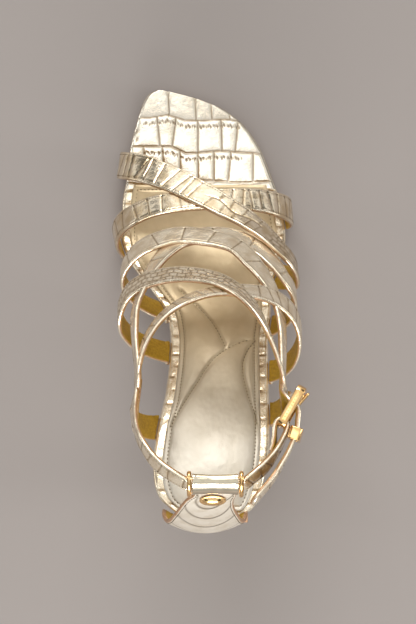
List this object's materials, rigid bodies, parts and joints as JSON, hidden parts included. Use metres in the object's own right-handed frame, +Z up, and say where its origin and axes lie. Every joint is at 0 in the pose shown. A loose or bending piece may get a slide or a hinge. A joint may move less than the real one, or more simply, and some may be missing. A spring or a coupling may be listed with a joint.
{
  "type": "gladiator sandal",
  "caption": "Open high-heeled sandal: crossing straps joined where they cross, buckled ankle strap through a tunnel on a heel tab.",
  "frame": {"origin": "middle of the whole shoe's box, at the ground", "axes": "+Y toward the toe, +X to the outer side of the foot, +Z up"},
  "size_m": [0.0978, 0.2246, 0.1706],
  "materials": {
    "gold_leather": "metallic, embossed",
    "satin_leather": "satin",
    "sole_tan": "matte",
    "tip_rubber": "matte",
    "gold_metal": "polished"
  },
  "bodies": {
    "root": {"footbed": "gold_leather", "outsole": "sole_tan", "sock": "satin_leather", "heel": "gold_leather", "top_lift": "tip_rubber", "vamp_straps": "gold_leather", "instep_straps": "gold_leather", "heel_tab": "gold_leather", "tunnel_ring_medial": "gold_metal", "tunnel_ring_lateral": "gold_metal", "tab_stud": "gold_metal", "buckle_frame": "gold_metal", "buckle_prong": "gold_metal", "keeper": "gold_metal"}
  },
  "joints": []
}
